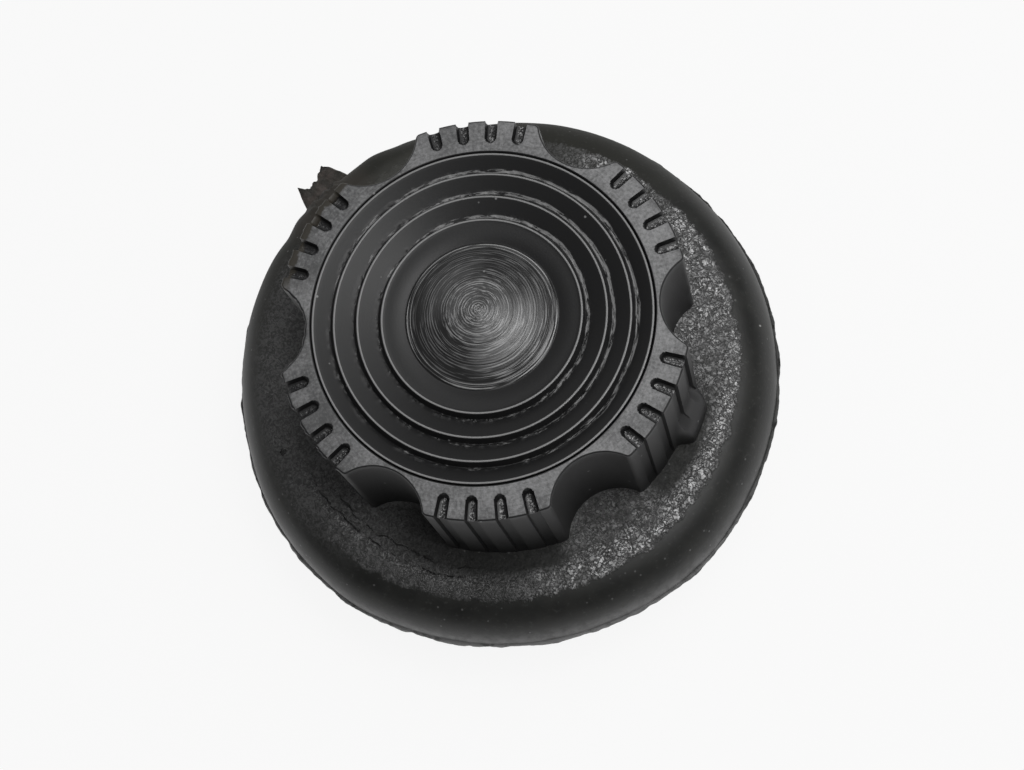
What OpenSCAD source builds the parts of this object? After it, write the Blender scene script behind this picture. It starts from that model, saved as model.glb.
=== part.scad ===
// Oil filler cap: a lobed plastic grip moulded in one with its keyed flange and bayonet spigot,
// and a soft rubber cover moulded over the flange, which seals on the filler neck.
// Millimetres. The origin is on the axis, in the plane of the spigot's open end, and +Z points up.

/* [Grip] */
// Wall of the grip between its bore and the bottom of a scallop
grip_wall = 4.6; // [3.6:0.1:6]
// Height that the grip stands above the rubber at its foot
grip_h = 19.9; // [16:0.1:24]
// Number of lobes round the grip
lobe_count = 6; // [5:1:6]
// Radius of the finger scallops between the lobes
scallop_r = 6.7; // [6:0.1:7.2]
// Depth of each scallop, from the lobes' radius
scallop_depth = 3.9; // [3:0.1:4]
// Radius that rounds the corners between lobe and scallop
corner_r = 0.7; // [0.3:0.1:1]
// Thickness of the grip's top wall under its flat rim
top_wall = 4; // [3:0.1:5.5]

/* [Grip slots] */
// Number of slots in the top of each lobe
slots_per_lobe = 4; // [2:1:4]
// Angle between neighbouring slots
slot_pitch_deg = 8.45; // [7:0.05:8.5]
// Width of a slot and of the groove below it
slot_w = 1.25; // [0.8:0.05:1.6]
// Length of a slot from its round inner end to the flank
slot_length = 3.2; // [2.2:0.1:3.4]
// Depth of a slot below the rim
slot_depth = 1.2; // [0.6:0.1:1.8]
// Depth of the groove that runs down the flank under each slot
groove_depth = 0.3; // [0.2:0.05:0.6]

/* [Top steps] */
// Width of the flat rim where a scallop comes closest to the steps
rim_w = 0.45; // [0.3:0.05:1]
// Distance between the outermost sharp ring and the next one inwards
ring_d_gap = 2.7; // [2:0.1:3.2]
// Distance between the second and the third sharp ring
ring_c_gap = 3.1; // [2.4:0.1:3.6]
// Distance between the third sharp ring and the innermost one
ring_b_gap = 3.2; // [2.4:0.1:3.6]
// Distance between the innermost sharp ring and the edge of the dome
ring_a_gap = 3.1; // [2.4:0.1:4]
// Drop from each sharp ring to the foot of the next slope
ring_drop = 1.1; // [0.5:0.1:1.6]
// Width over which each ring drops
ring_drop_w = 0.65; // [0.4:0.05:0.8]
// Height of the dome's crown above its own edge
dome_h = 3; // [1:0.1:4]
// Depth of the flat ring round the dome below the rim
dome_floor_drop = 0.5; // [0.2:0.1:1]

/* [Spigot] */
// Outer radius of the spigot, which slides into the filler neck
spigot_r = 21; // [20:0.1:21.8]
// Wall of the spigot
spigot_wall = 2.5; // [2:0.1:4]
// Length of the spigot below the rubber skirt
spigot_drop = 12; // [9:0.5:18]
// Chamfer that leads the spigot into the neck
lead_in = 1; // [0.5:0.1:1.5]
// Reach of the bayonet lugs beyond the spigot
lug_reach = 2.4; // [1.5:0.1:3]
// Height of a bayonet lug at its middle
lug_h = 4.2; // [3:0.1:5.5]
// Height of the lugs' lower faces above the spigot's end
lug_z = 1.6; // [1:0.1:3]
// Arc that each bayonet lug covers
lug_arc_deg = 44; // [30:1:60]
// Slope of the lugs' cam faces, which pull the cap down as it turns
lug_ramp_deg = 4; // [1:0.5:8]

/* [Flange] */
// Reach of the flange into the rubber, beyond the grip
flange_w = 5; // [4.4:0.1:5.4]
// Thickness of the flange
flange_t = 2.2; // [1.6:0.1:3]
// Number of holes that key the rubber to the flange
key_count = 12; // [6:1:16]
// Radius of each keying hole
key_r = 1.5; // [1:0.1:1.6]
// Distance from the flange's edge to the middle of a keying hole
key_inset = 2.3; // [2:0.1:2.8]

/* [Rubber cover] */
// Width of the nearly flat top of the cover round the grip
flat_w = 4; // [3:0.1:6]
// Fall of that flat, from the spigot's radius outwards
flat_fall = 0.4; // [0.1:0.1:0.8]
// Width of the rounded shoulder outside the flat
shoulder_w = 6.6; // [6:0.1:9]
// Reach of the moulding flash round the skirt's edge
flash_w = 0.4; // [0.1:0.1:0.8]
// Height of that flash
flash_h = 0.7; // [0.3:0.1:1.5]
// Rubber below the flange, which seals on the neck
seal_t = 1.2; // [0.8:0.1:2]
// Rubber above the flange at the foot of the grip
cover_t = 1.2; // [0.8:0.1:2]
// Depth of the pocket that the neck's rim enters
pocket_depth = 3.5; // [3:0.1:6]
// Wall of the skirt at the sealing land
skirt_t = 4.3; // [3.6:0.1:4.8]
// Flare of the pocket's wall towards the skirt's edge
pocket_flare = 0.5; // [0.2:0.1:1]
// Distance of the sealing bead's middle from the spigot
bead_gap = 6; // [4:0.1:9]
// Radius of the bead's half-round section
bead_r = 0.7; // [0.4:0.1:1.2]

/* [Torn tab] */
// Direction of the torn rubber tab, from +X towards +Y
tab_dir_deg = 132; // [0:1:360]
// Width of the tab where it leaves the skirt
tab_w = 7.4; // [5:0.1:10]
// Reach of the tab's longest torn point beyond the skirt
tab_reach = 4.4; // [2:0.1:6]
// Thickness of the tab
tab_t = 2.2; // [1.4:0.1:3]
// Height of the tab's lower face above the skirt's edge
tab_rise = 0.8; // [0.2:0.1:2]

/* [Hidden] */

// Levels, from the spigot's end upwards
skirt_z = spigot_drop;
land_z = skirt_z + pocket_depth;
flange_z = land_z + seal_t;
flange_top_z = flange_z + flange_t;
foot_z = flange_top_z + cover_t;
rim_z = foot_z + grip_h;
valley_z = rim_z - ring_drop;
dome_edge_z = rim_z - dome_floor_drop;
ceiling_z = rim_z - top_wall;
flat_z = foot_z - flat_fall;
wall_z = skirt_z + flash_h;

// The grip's radii, from the spigot outwards
bore_r = spigot_r - spigot_wall;
waist_r = bore_r + grip_wall;
grip_r = waist_r + scallop_depth;

// The sharp rings and the dome, from the rim inwards
relief_r = waist_r - rim_w;
ring_d_r = relief_r - ring_drop_w;
ring_c_r = ring_d_r - ring_d_gap;
ring_b_r = ring_c_r - ring_c_gap;
ring_a_r = ring_b_r - ring_b_gap;
dome_r = ring_a_r - ring_a_gap;

// The cover's and the flange's radii, from the grip outwards
flat_r = grip_r + flat_w;
skirt_r = flat_r + shoulder_w;
cover_r = skirt_r + flash_w;
pocket_r = skirt_r - skirt_t;
bead_circle_r = spigot_r + bead_gap;
flange_r = grip_r + flange_w;
key_circle_r = flange_r - key_inset;

// The grip's plan
lobe_pitch = 360 / lobe_count;
scallop_c = waist_r + scallop_r;
corner_c = grip_r - corner_r;
ceiling_edge = 2;

// How finely round forms are drawn, and how far joined or cut forms run into each other
round_fn = 128;
hole_fn = 32;
arc_steps = 6;
shoulder_steps = 12;
overlap = 0.5;

// Points along an arc about [x, y], from angle a to angle b
function arc(x, y, r, a, b, steps) =
    [for (i = [0:steps]) [x + r * cos(a + (b - a) * i / steps), y + r * sin(a + (b - a) * i / steps)]];

function turned(points, a) =
    [for (p = points) [p[0] * cos(a) - p[1] * sin(a), p[0] * sin(a) + p[1] * cos(a)]];

// A scallop lies along +X. Its two corners are rounded by circles that touch both the lobes'
// circle and the scallop's. This is the angle from +X to the centre of one of them.
corner_dir = acos((corner_c * corner_c + scallop_c * scallop_c - pow(scallop_r + corner_r, 2))
    / (2 * corner_c * scallop_c));
corner_x = corner_c * cos(corner_dir);
corner_y = corner_c * sin(corner_dir);

// Direction from the scallop's centre to the centre of its upper corner
touch_dir = atan2(corner_y, corner_x - scallop_c);

// The scallop with its corners, then the lobe after it, going anticlockwise
scallop_points = concat(
    arc(corner_x, -corner_y, corner_r, -corner_dir, 180 - touch_dir, arc_steps),
    arc(scallop_c, 0, scallop_r, 360 - touch_dir, touch_dir, 3 * arc_steps),
    arc(corner_x, corner_y, corner_r, touch_dir - 180, corner_dir, arc_steps));
lobe_points = arc(0, 0, grip_r, corner_dir, lobe_pitch - corner_dir, 3 * arc_steps);

// The whole outline of the grip, with the middle of a lobe on +Y
grip_points = [for (k = [0:lobe_count - 1])
    each turned(concat(
        scallop_points,
        [for (i = [1:len(lobe_points) - 2]) lobe_points[i]]),
        90 + lobe_pitch * (k + 0.5))];

// The grip as a plain prism, down to the flange that it is moulded with
module grip_prism() {
    translate([0, 0, flange_z])
        linear_extrude(height = rim_z - flange_z)
            polygon(grip_points);
}

// The flange, with the holes that the rubber flows through
module keyed_flange() {
    difference() {
        translate([0, 0, flange_z])
            cylinder(r = flange_r, h = flange_t, $fn = round_fn);
        for (k = [0:key_count - 1])
            rotate([0, 0, (k + 0.5) * 360 / key_count])
                translate([key_circle_r, 0, flange_z - overlap])
                    cylinder(r = key_r, h = flange_t + 2 * overlap, $fn = hole_fn);
    }
}

module spigot_tube() {
    rotate_extrude($fn = round_fn)
        polygon([[0, 0], [spigot_r - lead_in, 0], [spigot_r, lead_in],
            [spigot_r, flange_top_z], [0, flange_top_z]]);
}

// One bayonet lug on +X, with a sloping cam face on top and a chamfer below
module bayonet_lug() {
    lug_r = spigot_r + lug_reach;
    difference() {
        rotate([0, 0, -lug_arc_deg / 2])
            rotate_extrude(angle = lug_arc_deg, $fn = round_fn)
                polygon([[spigot_r - overlap, lug_z], [lug_r - lead_in, lug_z],
                    [lug_r, lug_z + lead_in], [lug_r, lug_z + 1.5 * lug_h],
                    [spigot_r - overlap, lug_z + 1.5 * lug_h]]);
        translate([0, 0, lug_z + lug_h])
            rotate([lug_ramp_deg, 0, 0])
                translate([0, -lug_r, 0])
                    cube([2 * lug_r, 2 * lug_r, lug_h]);
    }
}

// The steps in the grip's top. Each ring rises inwards from a sharp drop, and the lands between
// them slope gently up to the next ring. The middle is a low turned dome.
module top_steps() {
    dome_arc_r = (dome_r * dome_r + dome_h * dome_h) / (2 * dome_h);
    dome_half = asin(dome_r / dome_arc_r);
    rotate_extrude($fn = round_fn)
        polygon(concat(
            [[0, valley_z - overlap], [relief_r, valley_z - overlap]],
            [for (r = [ring_d_r, ring_c_r, ring_b_r, ring_a_r])
                each [[r + ring_drop_w, valley_z], [r, rim_z]]],
            arc(0, dome_edge_z + dome_h - dome_arc_r, dome_arc_r, 90 - dome_half, 90, arc_steps)));
}

// The round recess in the prism that the steps sit in
module step_recess() {
    translate([0, 0, valley_z])
        cylinder(r = relief_r, h = ring_drop + overlap, $fn = round_fn);
}

// The hollow of the spigot and the grip. Its roof follows the dome above it.
module hollow() {
    rotate_extrude($fn = round_fn)
        polygon([[0, -overlap], [bore_r, -overlap], [bore_r, ceiling_z - ceiling_edge],
            [bore_r - ceiling_edge, ceiling_z], [dome_r, ceiling_z],
            [0, ceiling_z + dome_h - dome_floor_drop]]);
}

// Round-ended slots in the top of the lobe on +X, and the shallow groove down the flank under each
module lobe_slots() {
    end_c = grip_r - slot_length + slot_w / 2;
    for (i = [0:slots_per_lobe - 1])
        rotate([0, 0, (i - (slots_per_lobe - 1) / 2) * slot_pitch_deg]) {
            translate([0, 0, rim_z - slot_depth])
                linear_extrude(height = slot_depth + overlap)
                    polygon(concat(arc(end_c, 0, slot_w / 2, 90, 270, arc_steps),
                        [[grip_r + overlap, -slot_w / 2], [grip_r + overlap, slot_w / 2]]));
            translate([grip_r - groove_depth, -slot_w / 2, foot_z])
                cube([groove_depth + overlap, slot_w, grip_h - slot_depth / 2]);
        }
}

// Hard plastic: the grip, the flange and the spigot are one moulding
module grip_body() {
    color([0.07, 0.07, 0.075])
        difference() {
            union() {
                difference() {
                    grip_prism();
                    step_recess();
                }
                top_steps();
                keyed_flange();
                spigot_tube();
                for (a = [0, 180])
                    rotate([0, 0, a])
                        bayonet_lug();
            }
            hollow();
            for (k = [0:lobe_count - 1])
                rotate([0, 0, 90 + k * lobe_pitch])
                    lobe_slots();
        }
}

// Section of the rubber: sealing land with its bead, pocket, skirt, flash, shoulder and flat top
module cover_section() {
    polygon(concat(
        [[spigot_r, land_z]],
        arc(bead_circle_r, land_z, bead_r, 180, 360, arc_steps),
        [[pocket_r, land_z], [pocket_r + pocket_flare, skirt_z], [cover_r, skirt_z],
            [cover_r, skirt_z + flash_h / 2], [skirt_r, wall_z]],
        [for (i = [1:shoulder_steps])
            [flat_r + (skirt_r - flat_r) * cos(90 * i / shoulder_steps),
                wall_z + (flat_z - wall_z) * sin(90 * i / shoulder_steps)]],
        [[spigot_r, foot_z]]));
}

// The stump of a torn tab, in two ragged layers. Each point is a share of the reach and the width.
module torn_tab() {
    torn_edge = [[0.3, -0.5], [0.6, -0.46], [1, -0.28], [0.78, -0.02],
        [0.72, 0.12], [0.92, 0.36], [0.45, 0.46], [0.1, 0.5]];
    root = skirt_r - tab_t;
    for (layer = [[1, 0.6], [0.7, 1]])
        rotate([0, 0, tab_dir_deg])
            translate([0, 0, skirt_z + tab_rise])
                linear_extrude(height = tab_t * layer[1])
                    polygon(concat([[root, tab_w / 2], [root, -tab_w / 2]],
                        [for (p = torn_edge) [skirt_r + tab_reach * layer[0] * p[0], tab_w * p[1]]]));
}

// Soft rubber, moulded over the flange and through its holes
module rubber_cover() {
    color([0.09, 0.09, 0.08])
        difference() {
            union() {
                rotate_extrude($fn = round_fn)
                    cover_section();
                torn_tab();
            }
            keyed_flange();
            grip_prism();
        }
}

grip_body();
rubber_cover();
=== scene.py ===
from math import acos, atan2, cos, degrees, exp, pi, radians, sin, sqrt

import bpy
import numpy as np
from mathutils import Matrix, Vector, noise


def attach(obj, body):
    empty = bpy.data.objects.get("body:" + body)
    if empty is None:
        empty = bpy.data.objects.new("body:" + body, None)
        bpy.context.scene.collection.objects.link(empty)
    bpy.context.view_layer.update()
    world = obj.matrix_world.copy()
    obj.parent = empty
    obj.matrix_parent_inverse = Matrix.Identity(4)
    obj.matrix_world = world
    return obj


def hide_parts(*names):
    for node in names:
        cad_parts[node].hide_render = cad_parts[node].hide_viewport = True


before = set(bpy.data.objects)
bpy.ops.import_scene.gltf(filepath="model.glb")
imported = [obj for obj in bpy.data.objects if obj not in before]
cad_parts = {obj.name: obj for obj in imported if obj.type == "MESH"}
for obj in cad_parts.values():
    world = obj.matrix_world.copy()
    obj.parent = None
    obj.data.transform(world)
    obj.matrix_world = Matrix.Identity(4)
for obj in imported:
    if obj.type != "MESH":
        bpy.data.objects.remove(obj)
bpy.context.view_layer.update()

# Camera. It looks down on the cap at the photograph's angle, a little turned about its own axis,
# so that the near side of the cap lies to the lower right of the picture.
picture_w = 1024
sensor_w = 36
focal_px = 2200
view_distance = 0.2824
view_elevation = radians(72.15)
near_azimuth = radians(-65.36)
near_in_picture = radians(62.65)
aim_right = -0.003969
aim_down = -0.008979
rim_z = 0.040

near_side = Vector((cos(near_azimuth), sin(near_azimuth), 0))
across = Vector((sin(near_azimuth), -cos(near_azimuth), 0))
forward = -cos(view_elevation) * near_side - sin(view_elevation) * Vector((0, 0, 1))
towards_near = sin(view_elevation) * near_side - cos(view_elevation) * Vector((0, 0, 1))
picture_right = -sin(near_in_picture) * across + cos(near_in_picture) * towards_near
picture_down = cos(near_in_picture) * across + sin(near_in_picture) * towards_near
camera_place = (Vector((0, 0, rim_z)) - forward * view_distance
                - picture_right * aim_right - picture_down * aim_down)

camera = bpy.data.objects.new("camera", bpy.data.cameras.new("camera"))
bpy.context.scene.collection.objects.link(camera)
camera.data.sensor_width = sensor_w
camera.data.lens = sensor_w * focal_px / picture_w
camera.data.clip_start = 0.01
camera.matrix_world = Matrix((
    (picture_right.x, -picture_down.x, -forward.x, camera_place.x),
    (picture_right.y, -picture_down.y, -forward.y, camera_place.y),
    (picture_right.z, -picture_down.z, -forward.z, camera_place.z),
    (0, 0, 0, 1)))
bpy.context.scene.camera = camera

bpy.context.scene.view_settings.view_transform = "Standard"

# Floor and light. A white sweep under the cap, seen as plain white by the camera, in a pale tent
# with three large soft lamps round it and a smaller, stronger one above its lower right side.
white_share = 0.9
paper_tone = 0.8
floor_half = 1.5
tent_strength = 0.15
lamp_distance = 0.5
softbox_w = 0.34
bright_lamp_w = 0.22

floor_mesh = bpy.data.meshes.new("floor")
floor_mesh.from_pydata(
    [(x * floor_half, y * floor_half, 0) for x, y in ((-1, -1), (1, -1), (1, 1), (-1, 1))],
    [], [(0, 1, 2, 3)])
floor = bpy.data.objects.new("floor", floor_mesh)
bpy.context.scene.collection.objects.link(floor)


def add_node(tree, kind, inputs=None, **settings):
    # Adds a shader node; its inputs are numbers, colours or the sockets that feed them
    node = tree.nodes.new(kind)
    for name, value in settings.items():
        setattr(node, name, value)
    for name, value in (inputs or {}).items():
        if isinstance(value, bpy.types.NodeSocket):
            tree.links.new(value, node.inputs[name])
        else:
            node.inputs[name].default_value = value
    return node


def sums(tree, operation, a, b=0.0, c=0.0):
    return add_node(tree, "ShaderNodeMath", {0: a, 1: b, 2: c}, operation=operation).outputs[0]


def times(tree, a, b):
    return sums(tree, "MULTIPLY", a, b)


def either(tree, a, b):
    return sums(tree, "MAXIMUM", a, b)


floor_material = bpy.data.materials.new("white_sweep")
floor_material.use_nodes = True
tree = floor_material.node_tree
tree.nodes.clear()
rays = add_node(tree, "ShaderNodeLightPath")
seen = either(tree, rays.outputs["Is Camera Ray"], rays.outputs["Is Glossy Ray"])
seen = times(tree, either(tree, seen, rays.outputs["Is Transmission Ray"]), white_share)
paper = add_node(tree, "ShaderNodeBsdfDiffuse", {"Color": (paper_tone, paper_tone, paper_tone, 1)})
white = add_node(tree, "ShaderNodeEmission", {"Strength": 1.0})
mix = add_node(tree, "ShaderNodeMixShader", {"Fac": seen, 1: paper.outputs[0], 2: white.outputs[0]})
add_node(tree, "ShaderNodeOutputMaterial", {"Surface": mix.outputs[0]})
floor_mesh.materials.append(floor_material)

world = bpy.data.worlds.new("studio")
bpy.context.scene.world = world
world.use_nodes = True
tree = world.node_tree
tree.nodes.clear()
rays = add_node(tree, "ShaderNodeLightPath")
tent = add_node(tree, "ShaderNodeBackground", {"Color": (1, 1, 1, 1), "Strength": tent_strength})
backdrop = add_node(tree, "ShaderNodeBackground", {"Color": (1, 1, 1, 1), "Strength": 1.0})
mix = add_node(tree, "ShaderNodeMixShader",
               {"Fac": rays.outputs["Is Camera Ray"], 1: tent.outputs[0], 2: backdrop.outputs[0]})
add_node(tree, "ShaderNodeOutputWorld", {"Surface": mix.outputs[0]})


def add_lamp(name, azimuth, elevation, width, power):
    lamp = bpy.data.objects.new(name, bpy.data.lights.new(name, "AREA"))
    lamp.data.shape = "RECTANGLE"
    lamp.data.size = width
    lamp.data.size_y = width
    lamp.data.energy = power
    direction = Vector((cos(radians(azimuth)) * cos(radians(elevation)),
                        sin(radians(azimuth)) * cos(radians(elevation)), sin(radians(elevation))))
    lamp.location = direction * lamp_distance
    lamp.rotation_euler = direction.to_track_quat("Z", "Y").to_euler()
    bpy.context.scene.collection.objects.link(lamp)


add_lamp("key_softbox", 44, 62, softbox_w, 0.55)
add_lamp("near_softbox", -24, 36, softbox_w, 0.12)
add_lamp("far_softbox", 120, 32, softbox_w, 0.12)
add_lamp("bright_lamp", -6, 71, bright_lamp_w, 0.72)

# Grip. One black hard-plastic moulding: six lobes to hold it by, four slots in the top of each,
# saw-tooth steps round a turned dome, a hidden flange and a hollow spigot with two bayonet lugs.
# The outline, the steps and the spigot follow the real moulding; the valleys are ragged from wear.
spigot_r = 0.0210
bore_r = 0.0185
waist_r = 0.0231
grip_r = 0.0270
scallop_r = 0.0067
corner_r = 0.0007
edge_r = 0.00025
lobes = 6
slots_a_lobe = 4
slot_pitch = radians(8.45)
slot_half = radians(1.85)
slot_wall = radians(0.55)
groove_wall = radians(0.3)
slot_inner_r = 0.0238
slot_depth = 0.0009
slot_hollow = 0.00015
groove_depth = 0.0005
off_slots = 9.0
flange_r = 0.0320
flange_z = 0.0167
flange_top_z = 0.0189
foot_z = 0.0201
relief_r = 0.02242
relief_round = 0.0003
ring_drop = 0.0011
ring_drop_w = 0.00065
sharp_rings = (0.0130, 0.0162, 0.0193, 0.02212)
dome_r = 0.0099
dome_h = 0.0030
dome_edge_z = rim_z - 0.0005
ceiling_z = rim_z - 0.0040
mm = 0.001


def add_ring(points, ring):
    first = len(points)
    points.extend(map(tuple, ring))
    return list(range(first, first + len(ring)))


def join_rings(faces, a, b):
    for i in range(len(a)):
        j = (i + 1) % len(a)
        faces.append((a[i], b[i], b[j], a[j]))


def zip_rings(faces, a, angles_a, b, angles_b):
    # Joins two rings with different numbers of points by triangles, always taking the next angle
    i = j = 0
    end_a = [*angles_a, angles_a[0] + 2 * pi]
    end_b = [*angles_b, angles_b[0] + 2 * pi]
    while i < len(a) or j < len(b):
        if j >= len(b) or (i < len(a) and end_a[i + 1] <= end_b[j + 1]):
            faces.append((a[i], b[j % len(b)], a[(i + 1) % len(a)]))
            i += 1
        else:
            faces.append((a[i % len(a)], b[j], b[(j + 1) % len(b)]))
            j += 1


def circle_ring(count, radius, height):
    return [(radius * cos(2 * pi * i / count), radius * sin(2 * pi * i / count), height)
            for i in range(count)]


def smooth_step(t):
    t = min(max(t, 0.0), 1.0)
    return t * t * (3 - 2 * t)


def within(heading, first, last, rise, fall):
    # 1 between two headings in degrees, with a soft rise and fall inside them
    return smooth_step((heading - first) / rise) * smooth_step((last - heading) / fall)


def grip_columns():
    # Every column of the grip's side: its place, its outward normal and its angle to the nearest slot
    scallop_c = waist_r + scallop_r
    corner_c = grip_r - corner_r
    reach = (corner_c ** 2 + scallop_c ** 2 - (scallop_r + corner_r) ** 2) / (2 * corner_c * scallop_c)
    corner_dir = acos(reach)
    corner_x = corner_c * cos(corner_dir)
    corner_y = corner_c * sin(corner_dir)
    touch_dir = atan2(corner_y, corner_x - scallop_c)
    slots = [(i - (slots_a_lobe - 1) / 2) * slot_pitch for i in range(slots_a_lobe)]
    lobe_half = pi / lobes - corner_dir
    marks = [0.2 * slot_half, 0.48 * slot_half, slot_half - slot_wall, slot_half - groove_wall, slot_half,
             slot_half + 0.3 * groove_wall]
    near_slots = [s + sign * m for s in slots for m in marks for sign in (-1, 1)]
    between = [slot + marks[-1] + (slot_pitch - 2 * marks[-1]) * t / 11
               for slot in slots[:-1] for t in range(1, 11)]
    end_gap = lobe_half - slots[-1] - marks[-1]
    ends = [sign * (lobe_half - end_gap * t / 4) for t in range(1, 4) for sign in (-1, 1)]
    lobe_angles = sorted(near_slots + between + ends)
    columns = []
    for k in range(lobes):
        turn = pi / 2 + 2 * pi / lobes * (k + 0.5)
        for cx, cy, r, a, b, steps, out in (
                (corner_x, -corner_y, corner_r, -corner_dir, pi - touch_dir, 6, 1),
                (scallop_c, 0, scallop_r, 2 * pi - touch_dir, touch_dir, 40, -1),
                (corner_x, corner_y, corner_r, touch_dir - pi, corner_dir, 6, 1)):
            for i in range(0 if out > 0 else 1, steps + 1 if out > 0 else steps):
                q = a + (b - a) * i / steps
                x, y = cx + r * cos(q), cy + r * sin(q)
                nx, ny = out * cos(q), out * sin(q)
                columns.append((x * cos(turn) - y * sin(turn), x * sin(turn) + y * cos(turn),
                                nx * cos(turn) - ny * sin(turn), nx * sin(turn) + ny * cos(turn), off_slots))
        middle = turn + pi / lobes
        for a in lobe_angles:
            q = middle + a
            off = min((a - s for s in slots), key=abs)
            columns.append((grip_r * cos(q), grip_r * sin(q), cos(q), sin(q), off))
    return columns


crest_round = ((-0.2, 0.058), (-0.12, 0.026), (-0.04, 0.006), (0.04, 0.0), (0.12, 0.016), (0.19, 0.055))


def step_height(r):
    # Height of the steps in the grip's top at radius r
    sphere_r = (dome_r ** 2 + dome_h ** 2) / (2 * dome_h)
    if r <= dome_r:
        return dome_edge_z + dome_h - sphere_r + sqrt(sphere_r ** 2 - r ** 2)
    radii = [dome_r + t * mm for t in (0, 0.15, 0.5, 0.9, 1.4, 1.9, 2.4)]
    heights = [rim_z - t * mm for t in (0.5, 0.49, 0.40, 0.30, 0.21, 0.15, 0.11)]
    for ring in sharp_rings:
        for out, down in crest_round:
            radii.append(ring + out * mm)
            heights.append(rim_z - down * mm)
        radii.append(ring + ring_drop_w)
        heights.append(rim_z - ring_drop)
    return float(np.interp(r, radii, heights))


def ragged_valley(x, y, r):
    # Chipped, grainy foot of each sharp drop, raised a little in places
    depth = 0.0
    for ring in sharp_rings:
        t = (r - ring - 0.8 * ring_drop_w) / (0.5 * mm)
        if 0 <= t <= 1:
            grain = noise.fractal(Vector((x, y, ring)) * 1900, 0.6, 2.2, 3)
            broad = noise.noise(Vector((x, y, ring + 7)) * 260)
            depth = max(0.0, grain + 0.55 * broad) * 0.00022 * sin(pi * t)
    return depth


grip_points = []
grip_faces = []
top_count = 480
top_angles = [2 * pi * i / top_count for i in range(top_count)]
top_radii = [dome_r * t / 22 for t in range(1, 23)]
top_radii += [dome_r + t * mm for t in (0.08, 0.15, 0.3, 0.5, 0.7, 0.9, 1.15, 1.4, 1.65, 1.9, 2.15, 2.4)]
last = top_radii[-1]
for ring in sharp_rings:
    rows = 5 if ring > sharp_rings[0] else 2
    top_radii += [last + (ring + crest_round[0][0] * mm - last) * t / rows for t in range(1, rows + 1)]
    top_radii += [ring + out * mm for out, down in crest_round[1:]]
    top_radii += [ring + 0.5 * ring_drop_w, ring + 0.8 * ring_drop_w]
    top_radii += [ring + 0.8 * ring_drop_w + 0.1 * mm * t for t in range(1, 6)]
    last = top_radii[-1]
top_radii = [r for r in top_radii if r < relief_r - 0.02 * mm]

crown = len(grip_points)
grip_points.append((0, 0, step_height(0)))
previous = None
for r in top_radii:
    ring = []
    for a in top_angles:
        x, y = r * cos(a), r * sin(a)
        ring.append((x, y, step_height(r) + ragged_valley(x, y, r)))
    ring = add_ring(grip_points, ring)
    if previous is None:
        grip_faces += [(crown, ring[i], ring[(i + 1) % top_count]) for i in range(top_count)]
    else:
        join_rings(grip_faces, previous, ring)
    previous = ring
relief_section = [(relief_r, rim_z - ring_drop)]
relief_section += [(relief_r + relief_round * (1 - cos(q)), rim_z - relief_round * (1 - sin(q)))
                   for q in (0, pi / 10, pi / 5, 3 * pi / 10, 2 * pi / 5, pi / 2)]
for r, z in relief_section:
    ring = add_ring(grip_points, circle_ring(top_count, r, z))
    join_rings(grip_faces, previous, ring)
    previous = ring

columns = grip_columns()
side_angles = list(np.unwrap([atan2(c[1], c[0]) for c in columns]))
shift = int(np.argmax([a >= 2 * pi for a in side_angles]))
columns = columns[shift:] + columns[:shift]
side_angles = [a % (2 * pi) for a in side_angles[shift:] + side_angles[:shift]]


def slot_dip(off, r, heading):
    # How far a point of the rim lies below it because of a slot. On the lobe by the torn tab the
    # rubber has closed the slots' outer ends.
    if abs(off) >= slot_half:
        return 0.0
    heading = degrees(heading) % 360
    closed = within(heading, 125, 153, 6, 5)
    closed *= smooth_step((r - 25.9 * mm) / (0.7 * mm))
    wall = min((slot_half - abs(off)) / slot_wall, 1.0)
    half_w = slot_half * grip_r
    across_slot = min(abs(off) * grip_r, half_w)
    start = slot_inner_r + half_w - sqrt(half_w ** 2 - across_slot ** 2)
    hollow = slot_hollow * max(0.0, 1 - (off / (slot_half - slot_wall)) ** 2)
    return (slot_depth * wall + hollow) * smooth_step((r - start) / (0.3 * mm)) * (1 - 0.85 * closed)


def left_flash(x, y):
    # Thin ragged flash along the outer edge of the two lobes on the left
    heading = degrees(atan2(y, x)) % 360
    share = within(heading, 132, 232, 10, 14)
    rough = max(0.0, noise.fractal(Vector((x, y, 0.4)) * 900, 0.6, 2.1, 3) + 0.25)
    return 0.00028 * share * rough


def foot_bulge(x, y, z):
    # Smooth swelling that the rubber pushed up over the foot of the lobe on the right
    heading = degrees(atan2(y, x))
    share = within(heading, -31, -13, 4, 5)
    return share * smooth_step((rim_z - 13.8 * mm - z) / (3.6 * mm))


rim_fall = 0.0003
rim_shares = [0.1, 0.2, 0.26, 0.29, 0.32, 0.35, 0.38, 0.42, 0.47, 0.55, 0.64, 0.73, 0.82, 0.91, 1.0]
inner_r = relief_r + relief_round
for share in rim_shares:
    ring = []
    for (x, y, nx, ny, off), a in zip(columns, side_angles):
        ex, ey = x - nx * edge_r, y - ny * edge_r
        px = inner_r * cos(a) * (1 - share) + ex * share
        py = inner_r * sin(a) * (1 - share) + ey * share
        rr = sqrt(px * px + py * py)
        low = rim_fall * (rr - inner_r) / (grip_r - inner_r)
        ring.append((px, py, rim_z - low - slot_dip(off, rr, a)))
    ring = add_ring(grip_points, ring)
    if share == rim_shares[0]:
        zip_rings(grip_faces, previous, top_angles, ring, side_angles)
    else:
        join_rings(grip_faces, previous, ring)
    previous = ring

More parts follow.
